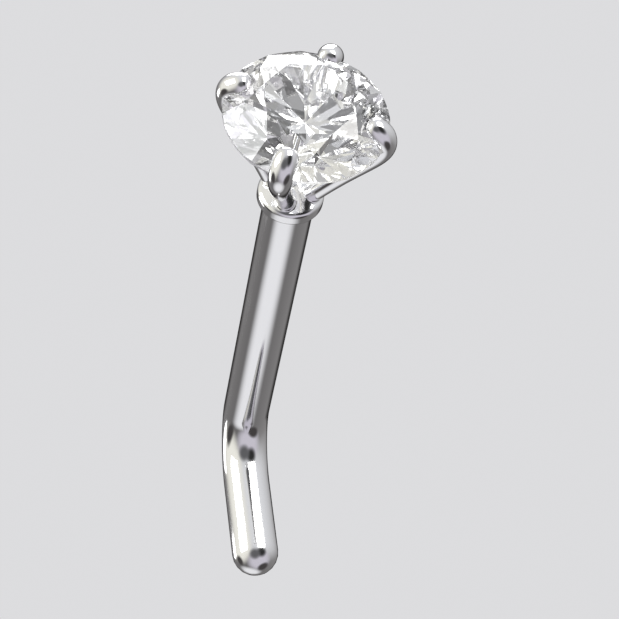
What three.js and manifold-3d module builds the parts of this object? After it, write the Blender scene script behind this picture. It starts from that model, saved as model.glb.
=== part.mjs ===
// A nose stud: a round brilliant-cut stone in a four-claw setting, soldered to an L-bent wire post.
// Millimetres. The post runs along +Y into the nostril wall, the stone faces -Y, and +Z is up as worn.
// The origin is on the post's axis, in the plane of the base's flat back, which bears on the skin.
import * as THREE from "three";
import { mergeVertices } from "three/addons/utils/BufferGeometryUtils.js";
import Module from "manifold-3d";

const wasm = await Module();
wasm.setup();

// The stone, in shares of its diameter where a cutter gives them so.
const STONE_DIAMETER = 2.5;
const TABLE_SHARE = 0.57;
const CROWN_ANGLE = THREE.MathUtils.degToRad(34.5);
const PAVILION_ANGLE = THREE.MathUtils.degToRad(40.75);
const GIRDLE_SHARE = 0.03;
const STAR_LENGTH_SHARE = 0.5;
const LOWER_HALF_SHARE = 0.77;
const MAIN_FACETS = 8;
const GIRDLE_STEPS_PER_HALF = 3;
const TABLE_ABOVE_SKIN = 2.4;

// The setting. Its claws stand in a cross that is turned a little about the post.
const CLAW_COUNT = 4;
const CLAW_CROSS_TURN = THREE.MathUtils.degToRad(-24.5);
const CLAW_RADIUS = 0.17;
const CLAW_TIP_RADIUS = 0.21;
const CLAW_OVERREACH = 0.18;
const CLAW_FOOT = { out: 0.22, height: 0.2 };
const CLAW_SHOULDER_DROP = 0.34;
const CLAW_LEAN = 0.03;
const CLAW_TIP_INSET = 0.19;
const CLAW_TIP_DROP = 0.21;
const SEAT_GAP = 0.03;
const BASE_RADIUS = 0.52;
const BASE_RIM_HEIGHT = 0.22;
const BASE_HEIGHT = 0.42;
const BASE_EDGE = 0.04;

// The post, a 0.8 mm wire with a short tail bent down inside the nostril.
const POST_RADIUS = 0.4;
const POST_WEARABLE_LENGTH = 6.5;
const BEND_RADIUS = 1.0;
const TAIL_REACH = 2.8;
const POST_END_SHARE = 0.97;

// How finely round things are faceted: sides round a wire, and steps along it.
const CLAW_SIDES = 16;
const CLAW_STEPS = 14;
const POST_SIDES = 24;
const POST_STEPS = 30;
const BASE_SIDES = 40;
const BALL_MERIDIANS = 18;
const BALL_PARALLELS = 12;

const METAL = { color: 0xdcdde0, roughness: 0.12, metalness: 1.0 };
const STONE = { color: 0xf6f8fb, roughness: 0.02, metalness: 0.0 };

const stoneRadius = STONE_DIAMETER / 2;
const girdleThickness = GIRDLE_SHARE * STONE_DIAMETER;
const girdleTop = TABLE_ABOVE_SKIN - (1 - TABLE_SHARE) * stoneRadius * Math.tan(CROWN_ANGLE);
const clawReach = stoneRadius + CLAW_OVERREACH - CLAW_RADIUS;
const clawShoulder = girdleTop - CLAW_SHOULDER_DROP;

// Everything below is drawn with the post's axis on Z and the stone's face up; the last group turns it.

function around(radius, turns, height) {
  const angle = CLAW_CROSS_TURN + (turns * 2 * Math.PI) / MAIN_FACETS;
  return new THREE.Vector3(radius * Math.cos(angle), radius * Math.sin(angle), height);
}

// The plane through three points, as a function that gives its height over a point.
function planeHeight(a, b, c) {
  const plane = new THREE.Plane().setFromCoplanarPoints(a, b, c);
  return (p) => -(plane.constant + plane.normal.x * p.x + plane.normal.y * p.y) / plane.normal.z;
}

// One edge of the girdle under a half facet: an arc on the stone's cylinder, in the facet's plane.
function girdleArc(radius, fromTurn, toTurn, heightOver) {
  const points = [];
  for (let i = 0; i <= GIRDLE_STEPS_PER_HALF; i++) {
    const turn = fromTurn + ((toTurn - fromTurn) * i) / GIRDLE_STEPS_PER_HALF;
    const p = around(radius, turn, 0);
    p.z = heightOver(p);
    points.push(p);
  }
  return points;
}

// A round brilliant as flat facets, each a list of corners. The girdle is the scalloped band between them.
function brilliantFacets(radius, girdle, girdleTopHeight) {
  const low = girdleTopHeight - girdle;
  const crownSlope = Math.tan(CROWN_ANGLE);
  const pavilionSlope = Math.tan(PAVILION_ANGLE);
  const halfStep = Math.cos(Math.PI / MAIN_FACETS);
  const tableRadius = TABLE_SHARE * radius;
  const tableHeight = girdleTopHeight + (radius - tableRadius) * crownSlope;
  const tableEdge = tableRadius * halfStep;
  const starRadius = tableEdge + STAR_LENGTH_SHARE * (radius - tableEdge);
  const starHeight = girdleTopHeight + (radius - starRadius * halfStep) * crownSlope;
  const lowerRadius = (1 - LOWER_HALF_SHARE) * radius;
  const lowerHeight = low - (radius - lowerRadius * halfStep) * pavilionSlope;
  const culet = new THREE.Vector3(0, 0, low - radius * pavilionSlope);
  const facets = [[]];
  for (let k = 0; k < MAIN_FACETS; k++) {
    const tableCorner = around(tableRadius, k, tableHeight);
    const nextTableCorner = around(tableRadius, k + 1, tableHeight);
    const starTip = around(starRadius, k + 0.5, starHeight);
    const lastStarTip = around(starRadius, k - 0.5, starHeight);
    const lowerTip = around(lowerRadius, k + 0.5, lowerHeight);
    const lastLowerTip = around(lowerRadius, k - 0.5, lowerHeight);
    facets[0].push(tableCorner);
    facets.push([tableCorner, starTip, nextTableCorner]);
    facets.push([tableCorner, lastStarTip, around(radius, k, girdleTopHeight), starTip]);
    facets.push([culet, lowerTip, around(radius, k, low), lastLowerTip]);
    for (const side of [0, 0.5]) {
      const from = k + side;
      const to = from + 0.5;
      const ends = [around(radius, from, 0), around(radius, to, 0)];
      const topEnds = ends.map((p) => p.clone().setZ(girdleTopHeight));
      const lowEnds = ends.map((p) => p.clone().setZ(low));
      const top = girdleArc(radius, from, to, planeHeight(starTip, ...topEnds));
      const bottom = girdleArc(radius, from, to, planeHeight(lowerTip, ...lowEnds));
      facets.push([starTip, ...top]);
      facets.push([lowerTip, ...bottom]);
      for (let i = 0; i < GIRDLE_STEPS_PER_HALF; i++) {
        facets.push([top[i], bottom[i], bottom[i + 1], top[i + 1]]);
      }
    }
  }
  return facets;
}

// Flat facets as triangles that all face away from the stone's middle.
function brilliantGeometry(radius, girdle, girdleTopHeight) {
  const middle = new THREE.Vector3(0, 0, girdleTopHeight - girdle / 2);
  const positions = [];
  for (const corners of brilliantFacets(radius, girdle, girdleTopHeight)) {
    for (let i = 1; i < corners.length - 1; i++) {
      const face = new THREE.Triangle(corners[0], corners[i], corners[i + 1]);
      const outward = face.getMidpoint(new THREE.Vector3()).sub(middle);
      const order = face.getNormal(new THREE.Vector3()).dot(outward) > 0
        ? [face.a, face.b, face.c]
        : [face.a, face.c, face.b];
      order.forEach((p) => positions.push(p.x, p.y, p.z));
    }
  }
  return new THREE.BufferGeometry()
    .setAttribute("position", new THREE.Float32BufferAttribute(positions, 3));
}

// A round wire along a curve, with flat ends. A full arc is split into twice curveSegments.
function wire(curve, radius, sides, steps) {
  const section = new THREE.Shape().absarc(0, 0, radius, 0, 2 * Math.PI);
  return new THREE.ExtrudeGeometry(section, { curveSegments: sides / 2, steps, extrudePath: curve });
}

function ball(radius, centre) {
  return new THREE.SphereGeometry(radius, BALL_MERIDIANS, BALL_PARALLELS)
    .translate(centre.x, centre.y, centre.z);
}

function solid(geometry) {
  const bare = geometry.clone();
  bare.deleteAttribute("normal");
  bare.deleteAttribute("uv");
  const merged = mergeVertices(bare);
  return new wasm.Manifold(
    new wasm.Mesh({
      numProp: 3,
      vertProperties: merged.attributes.position.array,
      triVerts: new Uint32Array(merged.index.array),
    }),
  );
}

function geometryOf(manifold) {
  const mesh = manifold.getMesh();
  const geometry = new THREE.BufferGeometry();
  geometry.setAttribute("position", new THREE.BufferAttribute(mesh.vertProperties, 3));
  geometry.setIndex(new THREE.BufferAttribute(mesh.triVerts, 1));
  geometry.computeVertexNormals();
  return geometry;
}

// The straight leg of a claw at a share of its way from the base to the shoulder.
function legPoint(share, turns) {
  const out = THREE.MathUtils.lerp(CLAW_FOOT.out, clawReach - CLAW_LEAN, share);
  return around(out, turns, THREE.MathUtils.lerp(CLAW_FOOT.height, clawShoulder, share));
}

// A claw leans out from the base, stands up past the girdle and bends in over the crown.
function clawCurve(turns) {
  return new THREE.CatmullRomCurve3([
    legPoint(0, turns),
    legPoint(0.5, turns),
    legPoint(1, turns),
    around(clawReach, turns, girdleTop),
    around(clawReach - CLAW_TIP_INSET, turns, TABLE_ABOVE_SKIN - CLAW_TIP_DROP),
  ]);
}

function claw(turns) {
  const curve = clawCurve(turns);
  const tip = ball(CLAW_TIP_RADIUS, curve.getPoint(1));
  return solid(wire(curve, CLAW_RADIUS, CLAW_SIDES, CLAW_STEPS)).add(solid(tip));
}

// The base is a small collar, flat behind and coned in front, where the claws and the post meet.
function base() {
  const profile = [
    new THREE.Vector2(0, 0),
    new THREE.Vector2(BASE_RADIUS - BASE_EDGE, 0),
    new THREE.Vector2(BASE_RADIUS, BASE_EDGE),
    new THREE.Vector2(BASE_RADIUS, BASE_RIM_HEIGHT),
    new THREE.Vector2(0, BASE_HEIGHT),
  ];
  return solid(new THREE.LatheGeometry(profile, BASE_SIDES).rotateX(Math.PI / 2));
}

// The post runs straight back through the skin, bends down and ends in a short rounded tail.
function post() {
  const tailDepth = -(POST_WEARABLE_LENGTH + POST_RADIUS);
  const curve = new THREE.CurvePath();
  const start = new THREE.Vector3(0, 0, BASE_RIM_HEIGHT / 2);
  const bendStart = new THREE.Vector3(0, 0, tailDepth + BEND_RADIUS);
  const corner = new THREE.Vector3(0, 0, tailDepth);
  const bendEnd = new THREE.Vector3(0, -BEND_RADIUS, tailDepth);
  const end = new THREE.Vector3(0, -(TAIL_REACH - POST_RADIUS), tailDepth);
  curve.add(new THREE.LineCurve3(start, bendStart));
  curve.add(new THREE.QuadraticBezierCurve3(bendStart, corner, bendEnd));
  curve.add(new THREE.LineCurve3(bendEnd, end));
  const tailEnd = ball(POST_RADIUS * POST_END_SHARE, end);
  return solid(wire(curve, POST_RADIUS, POST_SIDES, POST_STEPS)).add(solid(tailEnd));
}

function setting() {
  let metal = base().add(post());
  for (let k = 0; k < CLAW_COUNT; k++) {
    metal = metal.add(claw((k * MAIN_FACETS) / CLAW_COUNT));
  }
  const seat = brilliantGeometry(
    stoneRadius + SEAT_GAP,
    girdleThickness + 2 * SEAT_GAP,
    girdleTop + SEAT_GAP,
  );
  return geometryOf(metal.subtract(solid(seat)));
}

function piece(name, geometry, finish) {
  const mesh = new THREE.Mesh(geometry, new THREE.MeshStandardMaterial(finish));
  mesh.name = name;
  return mesh;
}

const stud = new THREE.Group();
stud.rotation.x = Math.PI / 2;
stud.add(piece("stone", brilliantGeometry(stoneRadius, girdleThickness, girdleTop), STONE));
stud.add(piece("claw_setting", setting(), METAL));

export default stud;
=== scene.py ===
"""A nose stud: a clear brilliant-cut stone held by four claws on a bent wire post.

Every piece is made at the bench, in millimetres, with the post's axis upright and the stone's
face up. Then it is laid into its worn place, in metres: the post along +Y, the stone facing -Y
and +Z up.
"""

import math
from collections import namedtuple

import bpy
from mathutils import Matrix, Vector


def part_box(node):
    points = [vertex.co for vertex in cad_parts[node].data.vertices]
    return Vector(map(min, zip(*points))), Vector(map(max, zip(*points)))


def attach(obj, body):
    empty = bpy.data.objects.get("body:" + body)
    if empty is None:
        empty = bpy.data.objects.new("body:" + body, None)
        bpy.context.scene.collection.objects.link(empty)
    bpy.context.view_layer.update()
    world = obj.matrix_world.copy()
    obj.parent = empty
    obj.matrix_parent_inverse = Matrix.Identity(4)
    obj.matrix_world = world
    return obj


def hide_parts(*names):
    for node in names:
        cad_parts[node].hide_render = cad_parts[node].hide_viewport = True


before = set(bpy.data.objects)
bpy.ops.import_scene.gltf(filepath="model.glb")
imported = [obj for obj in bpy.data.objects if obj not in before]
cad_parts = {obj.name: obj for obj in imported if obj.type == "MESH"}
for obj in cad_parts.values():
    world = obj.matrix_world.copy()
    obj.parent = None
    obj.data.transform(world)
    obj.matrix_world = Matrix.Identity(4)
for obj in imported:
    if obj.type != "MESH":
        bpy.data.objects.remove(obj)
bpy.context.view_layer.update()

# The stone is a round brilliant of clear cubic zirconia. A cutter grinds it from a round blank,
# one flat facet after another, and leaves a thin matt girdle. The claws alone hold it.

MM = 0.001
FULL_TURN = 2 * math.pi
CROSS_TURN = math.radians(-24.5)     # how far the four claws are turned about the post
MAINS = 8                            # the main facets round the stone
GIRDLE_SIDES = 192
CROWN_ANGLE = math.radians(34.5)
PAVILION_ANGLE = math.radians(40.75)
TABLE_SHARE = 0.57                   # the table's corners, in shares of the stone's radius
GIRDLE_SHARE = 0.03                  # the girdle's height, in shares of the stone's diameter
STAR_SHARE = 0.5
LOWER_HALF_SHARE = 0.77
CUBIC_ZIRCONIA_INDEX = 2.16
BARELY_SLOPED = 1e-9                 # the table's slope: level, but still ground from above
FACET_WELD = 0.0002                  # corners nearer than this are one
GIRDLE_UPRIGHT = 0.1                 # a face that leans less than this share is the girdle
FACET_CREASE = math.radians(4)
CLEAR = (0.985, 0.99, 1.0, 1.0)
MATT = (0.95, 0.96, 0.98, 1.0)

stone_low, stone_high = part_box("stone")
stone_radius = (stone_high.x - stone_low.x) / 2 / MM
table_height = -stone_low.y / MM
girdle_top = table_height - (1 - TABLE_SHARE) * stone_radius * math.tan(CROWN_ANGLE)
girdle_bottom = girdle_top - 2 * GIRDLE_SHARE * stone_radius


def start_afresh():
    """Leaves nothing selected, so that the next operator touches only the new piece."""
    if bpy.context.object and bpy.context.object.mode != "OBJECT":
        bpy.ops.object.mode_set(mode="OBJECT")
    bpy.ops.object.select_all(action="DESELECT")


def take_up(name):
    """Names the primitive that was just added and opens it for shaping."""
    piece = bpy.context.object
    piece.name = name
    piece.data.name = name
    bpy.ops.object.mode_set(mode="EDIT")
    return piece


def pick_faces(piece, wanted):
    """Selects the faces that a test of centre and normal accepts."""
    bpy.ops.object.mode_set(mode="EDIT")
    bpy.ops.mesh.select_mode(type="FACE")
    bpy.ops.mesh.select_all(action="DESELECT")
    bpy.ops.object.mode_set(mode="OBJECT")
    for face in piece.data.polygons:
        face.select = wanted(face.center, face.normal)
    bpy.ops.object.mode_set(mode="EDIT")


def hold(piece):
    """Makes one piece the only one selected, in object mode."""
    start_afresh()
    piece.select_set(True)
    bpy.context.view_layer.objects.active = piece


def set_down(piece):
    """Ends the shaping of a piece and carries its place, turn and size into its mesh."""
    hold(piece)
    bpy.ops.object.transform_apply(location=True, rotation=True, scale=True)


def lay_in_place(piece, turn=0.0):
    """Carries a finished piece from the bench to its worn place, into the mesh itself."""
    hold(piece)
    piece.matrix_world = (
        Matrix.Scale(MM, 4) @ Matrix.Rotation(math.pi / 2, 4, "X") @ Matrix.Rotation(turn, 4, "Z")
    )
    bpy.ops.object.transform_apply(location=True, rotation=True, scale=True)


def facet(turns, reach, height, slope):
    """Grinds one facet: a plane at a reach and height, sloped from the table or from the tip."""
    way = Vector((math.cos(turns * FULL_TURN / MAINS), math.sin(turns * FULL_TURN / MAINS), 0))
    side = 1 if slope > 0 else -1
    normal = way * math.sin(abs(slope)) + Vector((0, 0, side * math.cos(slope)))
    bpy.ops.mesh.select_all(action="SELECT")
    bpy.ops.mesh.bisect(
        plane_co=way * reach + Vector((0, 0, height)),
        plane_no=normal,
        use_fill=True,
        clear_outer=True,
    )


def half_facet(turns, tip_reach, tip_height, girdle_height):
    """Grinds one of the sixteen small facets between a tip of the mains and the girdle."""
    inward = math.cos(math.pi / MAINS / 2)
    slope = math.atan2(tip_height - girdle_height, (stone_radius - tip_reach) * inward)
    facet(turns, stone_radius * inward, girdle_height, slope)


def cut_brilliant(name, radius_share=1.0):
    """Grinds the whole stone from a round blank, and swells it evenly for a seat cutter."""
    start_afresh()
    bpy.ops.mesh.primitive_cylinder_add(
        vertices=GIRDLE_SIDES,
        radius=stone_radius,
        depth=2 * table_height,
        location=(0, 0, table_height),
    )
    piece = take_up(name)
    corner_step = math.cos(math.pi / MAINS)
    table_edge = TABLE_SHARE * stone_radius * corner_step
    star_reach = table_edge + STAR_SHARE * (stone_radius - table_edge)
    star_height = girdle_top + (stone_radius - star_reach * corner_step) * math.tan(CROWN_ANGLE)
    star_slope = math.atan2(table_height - star_height, star_reach - table_edge)
    lower_reach = (1 - LOWER_HALF_SHARE) * stone_radius
    lower_depth = (stone_radius - lower_reach * corner_step) * math.tan(PAVILION_ANGLE)
    lower_height = girdle_bottom - lower_depth
    facet(0, 0, table_height, BARELY_SLOPED)
    for k in range(MAINS):
        facet(k, stone_radius, girdle_top, CROWN_ANGLE)
        facet(k, stone_radius, girdle_bottom, -PAVILION_ANGLE)
    for k in range(MAINS):
        facet(k + 0.5, table_edge, table_height, star_slope)
    for k in range(2 * MAINS):
        half_facet(k / 2 + 0.25, star_reach, star_height, girdle_top)
        half_facet(k / 2 + 0.25, lower_reach, lower_height, girdle_bottom)
    bpy.ops.mesh.select_all(action="SELECT")
    bpy.ops.mesh.remove_doubles(threshold=FACET_WELD)
    middle = (0, 0, (girdle_top + girdle_bottom) / 2)
    bpy.ops.transform.resize(value=(radius_share,) * 3, center_override=middle)
    bpy.ops.mesh.normals_make_consistent(inside=False)
    set_down(piece)
    return piece


def new_group(name, inputs, outputs):
    """An empty shader node group. Inputs are (type, name, default) and outputs (type, name)."""
    group = bpy.data.node_groups.new(name, "ShaderNodeTree")
    for kind, label, default in inputs:
        socket = group.interface.new_socket(label, in_out="INPUT", socket_type=kind)
        if default is not None:
            socket.default_value = default
    for kind, label in outputs:
        group.interface.new_socket(label, in_out="OUTPUT", socket_type=kind)
    return group


def add_node(tree, kind, **settings):
    """Adds one node and sets its properties, or its inputs where the name is one of theirs."""
    node = tree.nodes.new(kind)
    for key, value in settings.items():
        if hasattr(node, key):
            setattr(node, key, value)
        else:
            node.inputs[key.replace("_", " ").title()].default_value = value
    return node


def new_material(name):
    """A material with only its Principled shader and output, both returned for wiring."""
    material = bpy.data.materials.new(name)
    material.use_nodes = True
    tree = material.node_tree
    shader = tree.nodes["Principled BSDF"]
    return material, tree, shader


# Handling leaves a thin, uneven film on each polished face, and the polishing lap fine lines.
film_group = new_group(
    "handling_film",
    [
        ("NodeSocketVector", "Place", None),
        ("NodeSocketFloat", "Film Scale", 900.0),
        ("NodeSocketFloat", "Line Scale", 9000.0),
        ("NodeSocketFloat", "Least", 0.0),
        ("NodeSocketFloat", "Most", 0.05),
    ],
    [("NodeSocketFloat", "Roughness"), ("NodeSocketFloat", "Height"), ("NodeSocketFloat", "Film")],
)
film_in = add_node(film_group, "NodeGroupInput")
film_out = add_node(film_group, "NodeGroupOutput")
smear = add_node(film_group, "ShaderNodeTexNoise", detail=5.0, roughness=0.55, distortion=0.6)
lap = add_node(film_group, "ShaderNodeMapping", vector_type="POINT")
lap.inputs["Rotation"].default_value = (0.5, 0.9, 0.3)
lap.inputs["Scale"].default_value = (1.0, 0.07, 0.07)
lines = add_node(film_group, "ShaderNodeTexNoise", detail=3.0, roughness=0.6)
patch = add_node(film_group, "ShaderNodeMapRange", interpolation_type="SMOOTHSTEP")
patch.inputs["From Min"].default_value = 0.42
patch.inputs["From Max"].default_value = 0.72
spread = add_node(film_group, "ShaderNodeMapRange")
film_group.links.new(film_in.outputs["Place"], smear.inputs["Vector"])
film_group.links.new(film_in.outputs["Film Scale"], smear.inputs["Scale"])
film_group.links.new(film_in.outputs["Place"], lap.inputs["Vector"])
film_group.links.new(lap.outputs["Vector"], lines.inputs["Vector"])
film_group.links.new(film_in.outputs["Line Scale"], lines.inputs["Scale"])
film_group.links.new(smear.outputs["Fac"], patch.inputs["Value"])
film_group.links.new(patch.outputs["Result"], spread.inputs["Value"])
film_group.links.new(film_in.outputs["Least"], spread.inputs["To Min"])
film_group.links.new(film_in.outputs["Most"], spread.inputs["To Max"])
film_group.links.new(spread.outputs["Result"], film_out.inputs["Roughness"])
film_group.links.new(lines.outputs["Fac"], film_out.inputs["Height"])
film_group.links.new(patch.outputs["Result"], film_out.inputs["Film"])


def place_film(tree, scale, line_scale, least, most):
    """Puts the film into a material with that material's own values."""
    film = add_node(tree, "ShaderNodeGroup", node_tree=film_group)
    film.inputs["Film Scale"].default_value = scale
    film.inputs["Line Scale"].default_value = line_scale
    film.inputs["Least"].default_value = least
    film.inputs["Most"].default_value = most
    where = add_node(tree, "ShaderNodeTexCoord")
    tree.links.new(where.outputs["Object"], film.inputs["Place"])
    return film


def stone_material(name, roughest, tint):
    """Clear stone with a high index. Polished facets and matt girdle differ in roughness."""
    material, tree, shader = new_material(name)
    shader.inputs["Transmission Weight"].default_value = 1.0
    shader.inputs["IOR"].default_value = CUBIC_ZIRCONIA_INDEX
    film = place_film(tree, 1100.0, 14000.0, *roughest)
    body = add_node(tree, "ShaderNodeMix", data_type="RGBA")
    body.inputs[6].default_value = (1.0, 1.0, 1.0, 1.0)
    body.inputs[7].default_value = tint
    bump = add_node(tree, "ShaderNodeBump", strength=0.25, distance=2e-7)
    tree.links.new(film.outputs["Roughness"], shader.inputs["Roughness"])
    tree.links.new(film.outputs["Film"], body.inputs[0])
    tree.links.new(body.outputs[2], shader.inputs["Base Color"])
    tree.links.new(film.outputs["Height"], bump.inputs["Height"])
    tree.links.new(bump.outputs["Normal"], shader.inputs["Normal"])
    return material


stone = cut_brilliant("brilliant_stone")
stone.data.materials.append(stone_material("clear_stone_facets", (0.0, 0.012), CLEAR))
stone.data.materials.append(stone_material("matt_girdle", (0.22, 0.4), MATT))
for face in stone.data.polygons:
    face.material_index = 1 if abs(face.normal.z) < GIRDLE_UPRIGHT else 0
hold(stone)
bpy.ops.object.shade_smooth_by_angle(angle=FACET_CREASE)
lay_in_place(stone, CROSS_TURN)
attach(stone, "root")
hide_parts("stone")

# The basket is silver-coloured metal, cast and polished: a small collar and four claws that lean
# out from it, stand up past the stone's edge and are bent over it. A notch in each takes the edge.

CLAW_CORNERS = 8
CAGE_SWELL = 1 / 0.9024              # an eight-cornered cage smooths to a round a little inside it
CAGE_LEVELS = 3
CLAW_COUNT = 4
Station = namedtuple("Station", "out height radius")
CLAW_STATIONS = (                    # up the middle of one claw, from the collar to the bent tip
    Station(0.22, 0.12, 0.145),
    Station(0.39, 0.43, 0.140),
    Station(0.75, 1.03, 0.145),
    Station(1.09, 1.55, 0.162),
    Station(1.215, 1.80, 0.180),
    Station(1.24, 1.99, 0.192),
    Station(1.18, 2.13, 0.200),
    Station(1.05, 2.205, 0.195),
)
TIP_DOME = ((0.10, 0.86), (0.07, 0.62))     # how far each step goes on, and its share of width
TURNED_SIDES = 96                    # sides of what is turned on a lathe
COLLAR_RADIUS = 0.52
COLLAR_RIM = 0.22
COLLAR_HEIGHT = 0.42
COLLAR_CONE_INSET = 0.8 * COLLAR_RADIUS
COLLAR_EDGE = 0.045
COLLAR_EDGE_STEPS = 4
COLLAR_EDGE_ANGLE = math.radians(25)
WIRE_RADIUS = 0.4
STUB_RADIUS = WIRE_RADIUS - 0.006
STUB_LENGTH = 0.4
STUB_MIDDLE = -0.06
SEAT_SWELL = 1.024                   # how much wider the seat is than the stone
SOLDER_GRAIN = 0.0155                # the size to which the joined metal is melted together
SOLDER_FLOW = 0.5
SOLDER_SMOOTHING = 5
METAL_CREASE = math.radians(35)


def path_angle(stations, k):
    """The lean of the claw's middle line at a station, from upright."""
    before = stations[max(k - 1, 0)]
    after = stations[min(k + 1, len(stations) - 1)]
    return math.atan2(after.out - before.out, after.height - before.height)


def draw_on(step, stretch, pivot, lean_change):
    """Carries the open end of a wire on by one step, then sets its width and its lean."""
    bpy.ops.mesh.extrude_region_move(TRANSFORM_OT_translate={"value": step})
    bpy.ops.transform.resize(value=(stretch,) * 3, center_override=pivot)
    if lean_change:
        bpy.ops.transform.rotate(
            value=-lean_change, orient_axis="Y", orient_type="GLOBAL", center_override=pivot
        )


def make_claw():
    """One claw over the +X axis."""
    start_afresh()
    first = CLAW_STATIONS[0]
    lean = path_angle(CLAW_STATIONS, 0)
    bpy.ops.mesh.primitive_circle_add(
        vertices=CLAW_CORNERS,
        radius=first.radius * CAGE_SWELL,
        fill_type="NGON",
        location=(first.out, 0, first.height),
        rotation=(0, lean, 0),
    )
    claw = take_up("claw")
    for k in range(1, len(CLAW_STATIONS)):
        last, now = CLAW_STATIONS[k - 1], CLAW_STATIONS[k]
        next_lean = path_angle(CLAW_STATIONS, k)
        draw_on(
            (now.out - last.out, 0, now.height - last.height),
            now.radius / last.radius,
            (now.out, 0, now.height),
            next_lean - lean,
        )
        lean = next_lean
    end = Vector((CLAW_STATIONS[-1].out, 0, CLAW_STATIONS[-1].height))
    for go_on, share in TIP_DOME:
        step = Vector((math.sin(lean), 0, math.cos(lean))) * go_on
        end = end + step
        draw_on(step, share, end, 0)
    set_down(claw)
    rounded = claw.modifiers.new("round", "SUBSURF")
    rounded.levels = rounded.render_levels = CAGE_LEVELS
    bpy.ops.object.modifier_apply(modifier=rounded.name)
    return claw


def make_collar():
    """The collar: a disc with a blunt cone in front and eased edges."""
    start_afresh()
    bpy.ops.mesh.primitive_cylinder_add(
        vertices=TURNED_SIDES,
        radius=COLLAR_RADIUS,
        depth=COLLAR_RIM,
        location=(0, 0, COLLAR_RIM / 2),
    )
    collar = take_up("collar")
    pick_faces(collar, lambda centre, normal: normal.z > 0.9)
    bpy.ops.mesh.inset(thickness=COLLAR_CONE_INSET)
    bpy.ops.transform.translate(value=(0, 0, COLLAR_HEIGHT - COLLAR_RIM))
    set_down(collar)
    eased = collar.modifiers.new("eased", "BEVEL")
    eased.width = COLLAR_EDGE
    eased.segments = COLLAR_EDGE_STEPS
    eased.angle_limit = COLLAR_EDGE_ANGLE
    bpy.ops.object.modifier_apply(modifier=eased.name)
    return collar


def make_stub():
    """The root of the post, a hair slimmer than the wire, so that solder runs up round it."""
    start_afresh()
    bpy.ops.mesh.primitive_cylinder_add(
        vertices=TURNED_SIDES, radius=STUB_RADIUS, depth=STUB_LENGTH, location=(0, 0, STUB_MIDDLE)
    )
    stub = take_up("stub")
    set_down(stub)
    return stub


def copy_round(piece, count):
    """Copies a piece round the post's axis, each copy with its own mesh."""
    copies = [piece]
    for k in range(1, count):
        hold(piece)
        bpy.ops.object.duplicate(linked=False)
        copy = bpy.context.object
        copy.matrix_world = Matrix.Rotation(k * FULL_TURN / count, 4, "Z")
        bpy.ops.object.transform_apply(location=True, rotation=True, scale=True)
        copies.append(copy)
    return copies


def solder(name, parts, seat):
    """Melts the parts into one solid with soft joints, and cuts the seat for the stone."""
    hold(parts[0])
    for part in parts[1:]:
        part.select_set(True)
    bpy.ops.object.join()
    piece = bpy.context.object
    piece.name = name
    piece.data.name = name
    melt = piece.modifiers.new("melt", "REMESH")
    melt.mode = "VOXEL"
    melt.voxel_size = SOLDER_GRAIN
    bpy.ops.object.modifier_apply(modifier=melt.name)
    flow = piece.modifiers.new("flow", "SMOOTH")
    flow.factor = SOLDER_FLOW
    flow.iterations = SOLDER_SMOOTHING
    bpy.ops.object.modifier_apply(modifier=flow.name)
    burr = piece.modifiers.new("seat", "BOOLEAN")
    burr.operation = "DIFFERENCE"
    burr.solver = "EXACT"
    burr.object = seat
    bpy.ops.object.modifier_apply(modifier=burr.name)
    bpy.data.objects.remove(seat)
    return piece


# Polished metal: bright, with a haze, fine marks all ways and a few casting pits. The hollows are
# rougher, and painted shade darkens their colour.
metal_group = new_group(
    "polished_metal_and_hollow_shade",
    [
        ("NodeSocketVector", "Place", None),
        ("NodeSocketFloat", "Hollow Shade And Roughness", 0.0),
        ("NodeSocketFloat", "Haze Scale", 1600.0),
        ("NodeSocketFloat", "Pit Scale", 5200.0),
        ("NodeSocketFloat", "Bright Roughness", 0.05),
        ("NodeSocketFloat", "Dull Roughness", 0.16),
        ("NodeSocketColor", "Bright", (0.9, 0.9, 0.91, 1.0)),
        ("NodeSocketColor", "Painted Shade Colour", (0.62, 0.6, 0.58, 1.0)),
    ],
    [("NodeSocketColor", "Color"), ("NodeSocketFloat", "Roughness"), ("NodeSocketFloat", "Height")],
)
metal_in = add_node(metal_group, "NodeGroupInput")
metal_out = add_node(metal_group, "NodeGroupOutput")
haze = add_node(metal_group, "ShaderNodeTexNoise", detail=6.0, roughness=0.6, distortion=0.4)
haze_mask = add_node(metal_group, "ShaderNodeMapRange", interpolation_type="SMOOTHSTEP")
haze_mask.inputs["From Min"].default_value = 0.38
haze_mask.inputs["From Max"].default_value = 0.68
pits = add_node(metal_group, "ShaderNodeTexVoronoi", feature="F1")
pit_mask = add_node(metal_group, "ShaderNodeMapRange", interpolation_type="SMOOTHSTEP")
pit_mask.inputs["From Min"].default_value = 0.02
pit_mask.inputs["From Max"].default_value = 0.12
rare = add_node(metal_group, "ShaderNodeMath", operation="GREATER_THAN")
rare.inputs[1].default_value = 0.86
pit_here = add_node(metal_group, "ShaderNodeMix", data_type="FLOAT")
pit_here.inputs[2].default_value = 1.0
marks = add_node(metal_group, "ShaderNodeTexNoise", detail=4.0, roughness=0.7, scale=30000.0)
mark_way = add_node(metal_group, "ShaderNodeMapping")
mark_way.inputs["Rotation"].default_value = (0.3, 0.7, 0.2)
mark_way.inputs["Scale"].default_value = (1.0, 0.08, 0.3)
mark_depth = add_node(metal_group, "ShaderNodeMath", operation="MULTIPLY")
mark_depth.inputs[1].default_value = 0.12
height = add_node(metal_group, "ShaderNodeMath", operation="ADD")
wear = add_node(metal_group, "ShaderNodeMath", operation="MAXIMUM")
dullness = add_node(metal_group, "ShaderNodeMath", operation="MULTIPLY")
dullness.inputs[1].default_value = 0.45
rough = add_node(metal_group, "ShaderNodeMapRange")
tone = add_node(metal_group, "ShaderNodeMix", data_type="RGBA")
wire_metal = metal_group.links.new
wire_metal(metal_in.outputs["Place"], haze.inputs["Vector"])
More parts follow.
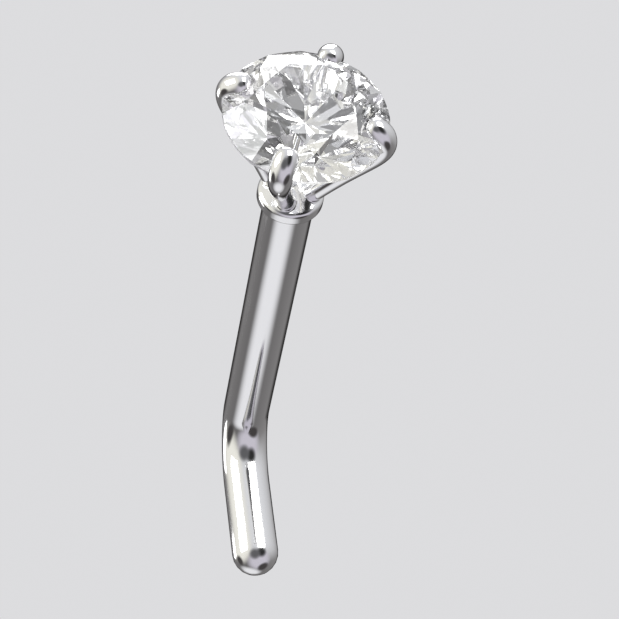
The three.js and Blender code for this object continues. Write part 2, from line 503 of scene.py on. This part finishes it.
wire_metal(metal_in.outputs["Haze Scale"], haze.inputs["Scale"])
wire_metal(haze.outputs["Fac"], haze_mask.inputs["Value"])
wire_metal(metal_in.outputs["Place"], pits.inputs["Vector"])
wire_metal(metal_in.outputs["Pit Scale"], pits.inputs["Scale"])
wire_metal(pits.outputs["Distance"], pit_mask.inputs["Value"])
wire_metal(pits.outputs["Color"], rare.inputs[0])
wire_metal(rare.outputs[0], pit_here.inputs[0])
wire_metal(pit_mask.outputs["Result"], pit_here.inputs[3])
wire_metal(metal_in.outputs["Place"], mark_way.inputs["Vector"])
wire_metal(mark_way.outputs["Vector"], marks.inputs["Vector"])
wire_metal(marks.outputs["Fac"], mark_depth.inputs[0])
wire_metal(pit_here.outputs[0], height.inputs[0])
wire_metal(mark_depth.outputs[0], height.inputs[1])
wire_metal(height.outputs[0], metal_out.inputs["Height"])
wire_metal(haze_mask.outputs["Result"], dullness.inputs[0])
wire_metal(dullness.outputs[0], wear.inputs[0])
wire_metal(metal_in.outputs["Hollow Shade And Roughness"], wear.inputs[1])
wire_metal(wear.outputs[0], rough.inputs["Value"])
wire_metal(metal_in.outputs["Bright Roughness"], rough.inputs["To Min"])
wire_metal(metal_in.outputs["Dull Roughness"], rough.inputs["To Max"])
wire_metal(rough.outputs["Result"], metal_out.inputs["Roughness"])
# Painted shade: the more hollow the surface, the more its colour goes to the darker shade colour.
wire_metal(metal_in.outputs["Hollow Shade And Roughness"], tone.inputs[0])
wire_metal(metal_in.outputs["Bright"], tone.inputs[6])
wire_metal(metal_in.outputs["Painted Shade Colour"], tone.inputs[7])
wire_metal(tone.outputs[2], metal_out.inputs["Color"])


def metal_material(name, haze_scale, bright_roughness, dull_roughness):
    """Polished metal with this piece's own haze and gloss."""
    material, tree, shader = new_material(name)
    shader.inputs["Metallic"].default_value = 1.0
    finish = add_node(tree, "ShaderNodeGroup", node_tree=metal_group)
    finish.inputs["Haze Scale"].default_value = haze_scale
    finish.inputs["Bright Roughness"].default_value = bright_roughness
    finish.inputs["Dull Roughness"].default_value = dull_roughness
    where = add_node(tree, "ShaderNodeTexCoord")
    bump = add_node(tree, "ShaderNodeBump", strength=0.5, distance=1.5e-6)
    tree.links.new(where.outputs["Object"], finish.inputs["Place"])
    tree.links.new(finish.outputs["Color"], shader.inputs["Base Color"])
    tree.links.new(finish.outputs["Roughness"], shader.inputs["Roughness"])
    tree.links.new(finish.outputs["Height"], bump.inputs["Height"])
    tree.links.new(bump.outputs["Normal"], shader.inputs["Normal"])
    return material, tree, finish


basket_metal, basket_tree, basket_finish = metal_material("basket_metal", 1600.0, 0.06, 0.2)
# Painted shade: pointiness finds the basket's hollows, which the finish paints darker and makes
# rougher.
shape = add_node(basket_tree, "ShaderNodeNewGeometry")
hollow_shade_mask = add_node(basket_tree, "ShaderNodeMapRange", interpolation_type="SMOOTHSTEP")
hollow_shade_mask.inputs["From Min"].default_value = 0.49
hollow_shade_mask.inputs["From Max"].default_value = 0.43
basket_tree.links.new(shape.outputs["Pointiness"], hollow_shade_mask.inputs["Value"])
basket_tree.links.new(hollow_shade_mask.outputs["Result"], basket_finish.inputs["Hollow Shade And Roughness"])

claws = copy_round(make_claw(), CLAW_COUNT)
seat_cutter = cut_brilliant("seat_cutter", SEAT_SWELL)
basket = solder("claw_basket", [*claws, make_collar(), make_stub()], seat_cutter)
basket.data.materials.clear()
basket.data.materials.append(basket_metal)
hold(basket)
bpy.ops.object.shade_smooth_by_angle(angle=METAL_CREASE)
lay_in_place(basket, CROSS_TURN)
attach(basket, "root")
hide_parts("claw_setting")

# The post is one length of drawn wire of the same metal, soldered into the collar's back. It runs
# straight through the skin, bends down inside the nostril and ends in a short domed tail.

WIRE_SIDES = 64
STRAIGHT_STEPS = 8
BEND_RADIUS = 1.0
BEND_STEPS = 24
TAIL_STEPS = 3
DOME_STEPS = 6
DOME_FLAT = 0.35                     # the last ring stops this share of a step short of the tip
WIRE_WELD = 0.0001
POST_START = 0.1

setting_low, setting_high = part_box("claw_setting")
tail_depth = -(setting_high.y / MM - WIRE_RADIUS)
tail_end = setting_low.z / MM

start_afresh()
bpy.ops.mesh.primitive_circle_add(
    vertices=WIRE_SIDES, radius=WIRE_RADIUS, fill_type="NGON", location=(0, 0, POST_START)
)
post = take_up("wire_post")
set_down(post)
bpy.ops.object.mode_set(mode="EDIT")
bpy.ops.mesh.select_all(action="SELECT")
straight = (tail_depth + BEND_RADIUS - POST_START) / STRAIGHT_STEPS
for step in range(STRAIGHT_STEPS):
    bpy.ops.mesh.extrude_region_move(TRANSFORM_OT_translate={"value": (0, 0, straight)})
bpy.ops.mesh.spin(
    steps=BEND_STEPS,
    angle=math.pi / 2,
    center=(0, -BEND_RADIUS, tail_depth + BEND_RADIUS),
    axis=(1, 0, 0),
)
tail_straight = (tail_end + WIRE_RADIUS + BEND_RADIUS) / TAIL_STEPS
for step in range(TAIL_STEPS):
    bpy.ops.mesh.extrude_region_move(TRANSFORM_OT_translate={"value": (0, tail_straight, 0)})
dome_y = tail_end + WIRE_RADIUS
for step in range(1, DOME_STEPS + 1):
    angle = step / (DOME_STEPS + DOME_FLAT) * math.pi / 2
    last_angle = (step - 1) / (DOME_STEPS + DOME_FLAT) * math.pi / 2
    advance = WIRE_RADIUS * (math.sin(angle) - math.sin(last_angle))
    dome_y = dome_y - advance
    bpy.ops.mesh.extrude_region_move(TRANSFORM_OT_translate={"value": (0, -advance, 0)})
    bpy.ops.transform.resize(
        value=(math.cos(angle) / math.cos(last_angle),) * 3,
        center_override=(0, dome_y, tail_depth),
    )
bpy.ops.mesh.select_all(action="SELECT")
bpy.ops.mesh.remove_doubles(threshold=WIRE_WELD)
bpy.ops.mesh.normals_make_consistent(inside=False)
bpy.ops.object.mode_set(mode="OBJECT")

post_metal, _, _ = metal_material("post_metal", 700.0, 0.07, 0.22)
post.data.materials.append(post_metal)
hold(post)
bpy.ops.object.shade_smooth_by_angle(angle=METAL_CREASE)
lay_in_place(post)
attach(post, "root")
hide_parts("claw_setting")

# The floor is a broad pale matt sheet well below the stud. It fades into the same pale tone as
# the room, so that no edge shows behind the stud from any side.

FLOOR_DEPTH = 45 * MM
FLOOR_RADIUS = 0.6
FLOOR_SIDES = 96
FADE_FROM = 0.05
FADE_TO = 0.32
PALE = (0.72, 0.72, 0.735, 1.0)

start_afresh()
bpy.ops.mesh.primitive_circle_add(
    vertices=FLOOR_SIDES, radius=FLOOR_RADIUS, fill_type="NGON", location=(0, 0, 0)
)
floor = take_up("floor")
bpy.ops.mesh.select_all(action="SELECT")
bpy.ops.transform.translate(value=(0, 0, -FLOOR_DEPTH))
bpy.ops.object.mode_set(mode="OBJECT")
floor_paint, floor_tree, floor_shader = new_material("pale_floor")
floor_shader.inputs["Roughness"].default_value = 0.9
floor_where = add_node(floor_tree, "ShaderNodeTexCoord")
floor_far = add_node(floor_tree, "ShaderNodeVectorMath", operation="LENGTH")
floor_fade = add_node(floor_tree, "ShaderNodeMapRange", interpolation_type="SMOOTHSTEP")
floor_fade.inputs["From Min"].default_value = FADE_FROM
floor_fade.inputs["From Max"].default_value = FADE_TO
grain = add_node(floor_tree, "ShaderNodeTexNoise", scale=900.0, detail=3.0)
grain_tone = add_node(floor_tree, "ShaderNodeMix", data_type="RGBA")
grain_tone.inputs[6].default_value = (0.56, 0.56, 0.57, 1.0)
grain_tone.inputs[7].default_value = (0.59, 0.59, 0.60, 1.0)
room_glow = add_node(floor_tree, "ShaderNodeEmission")
room_glow.inputs["Color"].default_value = PALE
floor_mix = add_node(floor_tree, "ShaderNodeMixShader")
floor_end = floor_tree.nodes["Material Output"]
floor_tree.links.new(floor_where.outputs["Object"], floor_far.inputs[0])
floor_tree.links.new(floor_far.outputs["Value"], floor_fade.inputs["Value"])
floor_tree.links.new(floor_where.outputs["Object"], grain.inputs["Vector"])
floor_tree.links.new(grain.outputs["Fac"], grain_tone.inputs[0])
floor_tree.links.new(grain_tone.outputs[2], floor_shader.inputs["Base Color"])
floor_tree.links.new(floor_fade.outputs["Result"], floor_mix.inputs[0])
floor_tree.links.new(floor_shader.outputs[0], floor_mix.inputs[1])
floor_tree.links.new(room_glow.outputs[0], floor_mix.inputs[2])
floor_tree.links.new(floor_mix.outputs[0], floor_end.inputs["Surface"])
floor.data.materials.append(floor_paint)
floor.visible_glossy = False
floor.visible_transmission = False

# The room is a pale tent. The eye sees its even walls. The polished metal and the stone see more
# of it: a bright front and top, and cards, dark ones for crisp edges and tinted ones for warmth.

Card = namedtuple("Card", "way reach softness colour")
LENS_SIDE = (-0.177, -0.809, -0.561)
WARM = (0.90, 0.885, 0.81)
LILAC = (0.60, 0.575, 0.64)
WHITE = (0.85, 0.85, 0.87)
DARK = (0.06, 0.055, 0.055)
DARKEST = (0.03, 0.028, 0.028)
CLOTH = (0.03, 0.03, 0.03)
SHADE = (0.12, 0.12, 0.125)
CARDS = (                            # reach and softness are in degrees
    Card((-1.0, -0.25, 0.15), 25, 40, WARM),        # a wall on the left
    Card((0.2, -0.35, -1.0), 25, 40, LILAC),        # a wall below
    Card((-0.177, 0.809, -0.561), 8, 26, WHITE),    # low behind the stud
    Card((0.45, 0.35, -0.83), 12, 14, DARK),        # below it, and behind on the right
    Card((-0.87, 0.43, -0.25), 10, 12, DARK),       # behind on the left
    Card((0.177, 0.809, 0.561), 18, 18, DARKEST),   # high behind it, across from the lens
    Card((0.37, -0.75, -0.37), 9, 22, CLOTH),       # a black cloth beside the lens
    Card(LENS_SIDE, 10, 24, SHADE),                 # the lens and its shade
)
TENT_WAY = (0.3, -0.75, 0.6)
TENT_TONES = (                       # how bright the tent is, from its far side to its bright side
    (0.0, (0.14, 0.135, 0.135, 1.0)),
    (0.4, (0.24, 0.233, 0.233, 1.0)),
    (0.7, (0.56, 0.56, 0.57, 1.0)),
    (1.0, (0.78, 0.79, 0.81, 1.0)),
)

room = bpy.data.worlds.new("light_tent")
bpy.context.scene.world = room
room.use_nodes = True
room_tree = room.node_tree
walls = room_tree.nodes["Background"]
walls.inputs["Color"].default_value = PALE
tent = add_node(room_tree, "ShaderNodeBackground")
eye = add_node(room_tree, "ShaderNodeLightPath")
choose = add_node(room_tree, "ShaderNodeMixShader")
direction = add_node(room_tree, "ShaderNodeTexCoord").outputs["Generated"]


def toward(way):
    """How nearly a direction in the room points one way, from -1 to 1."""
    dot = add_node(room_tree, "ShaderNodeVectorMath", operation="DOT_PRODUCT")
    dot.inputs[1].default_value = Vector(way).normalized()
    room_tree.links.new(direction, dot.inputs[0])
    return dot.outputs["Value"]


tent_share = add_node(room_tree, "ShaderNodeMapRange")
tent_share.inputs["From Min"].default_value = -1.0
tent_share.inputs["From Max"].default_value = 1.0
room_tree.links.new(toward(TENT_WAY), tent_share.inputs["Value"])
tent_ramp = add_node(room_tree, "ShaderNodeValToRGB")
room_tree.links.new(tent_share.outputs["Result"], tent_ramp.inputs[0])
stops = tent_ramp.color_ramp.elements
stops[0].color = TENT_TONES[0][1]
stops[1].color = TENT_TONES[-1][1]
for share, tone in TENT_TONES[1:-1]:
    stops.new(share).color = tone
tent_colour = tent_ramp.outputs["Color"]
for card in CARDS:
    edge = add_node(room_tree, "ShaderNodeMapRange", interpolation_type="SMOOTHSTEP")
    edge.inputs["From Min"].default_value = math.cos(math.radians(card.reach + card.softness))
    edge.inputs["From Max"].default_value = math.cos(math.radians(card.reach))
    room_tree.links.new(toward(card.way), edge.inputs["Value"])
    hung = add_node(room_tree, "ShaderNodeMix", data_type="RGBA")
    hung.inputs[7].default_value = (*card.colour, 1.0)
    room_tree.links.new(edge.outputs["Result"], hung.inputs[0])
    room_tree.links.new(tent_colour, hung.inputs[6])
    tent_colour = hung.outputs[2]
room_tree.links.new(tent_colour, tent.inputs["Color"])
room_tree.links.new(eye.outputs["Is Camera Ray"], choose.inputs[0])
room_tree.links.new(tent.outputs[0], choose.inputs[1])
room_tree.links.new(walls.outputs[0], choose.inputs[2])
room_tree.links.new(choose.outputs[0], room_tree.nodes["World Output"].inputs["Surface"])

# Four soft panels light the stud: a key up and to the right of the lens, a broad fill on the left,
# a top panel and a rim panel behind. Each is small and near, because the stud is.

Panel = namedtuple("Panel", "name way distance size brightness colour")
PANELS = (
    Panel("key_panel", (0.45, -0.98, 0.29), 0.20, 0.13, 4.0, (1.0, 0.98, 0.95)),
    Panel("fill_panel", (-0.95, -0.45, 0.25), 0.22, 0.14, 3.0, (0.96, 0.98, 1.0)),
    Panel("top_panel", (0.1, 0.0, 1.0), 0.24, 0.18, 3.2, (1.0, 1.0, 1.0)),
    Panel("rim_panel", (-0.75, 0.65, 0.3), 0.24, 0.08, 2.4, (1.0, 1.0, 1.0)),
)
for panel in PANELS:
    lamp = bpy.data.lights.new(panel.name, "AREA")
    lamp.shape = "SQUARE"
    lamp.size = panel.size
    lamp.energy = panel.brightness * math.pi * panel.size**2
    lamp.color = panel.colour
    holder = bpy.data.objects.new(panel.name, lamp)
    way = Vector(panel.way).normalized()
    holder.location = way * panel.distance
    holder.rotation_mode = "QUATERNION"
    holder.rotation_quaternion = way.to_track_quat("Z", "Y")
    bpy.context.scene.collection.objects.link(holder)

# The camera looks up at the stud from below and a little to one side, with its top tipped over,
# through a long lens that takes in the whole stud.

CAMERA_UP = Vector((0.022, -0.573, 0.819))
LOOK_AT = Vector((0.55 * MM, 2.23 * MM, -0.54 * MM))
LENS = 135.0
SENSOR = 36.0
VIEW_HEIGHT = 10.0 * MM
NEAREST = 0.002
FARTHEST = 2.0

back = Vector(LENS_SIDE).normalized()
right = CAMERA_UP.cross(back).normalized()
up = back.cross(right).normalized()
lens_data = bpy.data.cameras.new("camera")
lens_data.lens = LENS
lens_data.sensor_width = SENSOR
lens_data.dof.use_dof = False
camera = bpy.data.objects.new("camera", lens_data)
bpy.context.scene.collection.objects.link(camera)
distance = VIEW_HEIGHT * LENS / SENSOR
aim = Matrix((right, up, back)).transposed().to_4x4()
camera.matrix_world = Matrix.Translation(LOOK_AT + back * distance) @ aim
lens_data.clip_start = NEAREST
lens_data.clip_end = FARTHEST
bpy.context.scene.camera = camera
bpy.context.scene.view_settings.view_transform = "Standard"
bpy.context.scene.cycles.max_bounces = 24
bpy.context.scene.cycles.glossy_bounces = 16
bpy.context.scene.cycles.transmission_bounces = 24
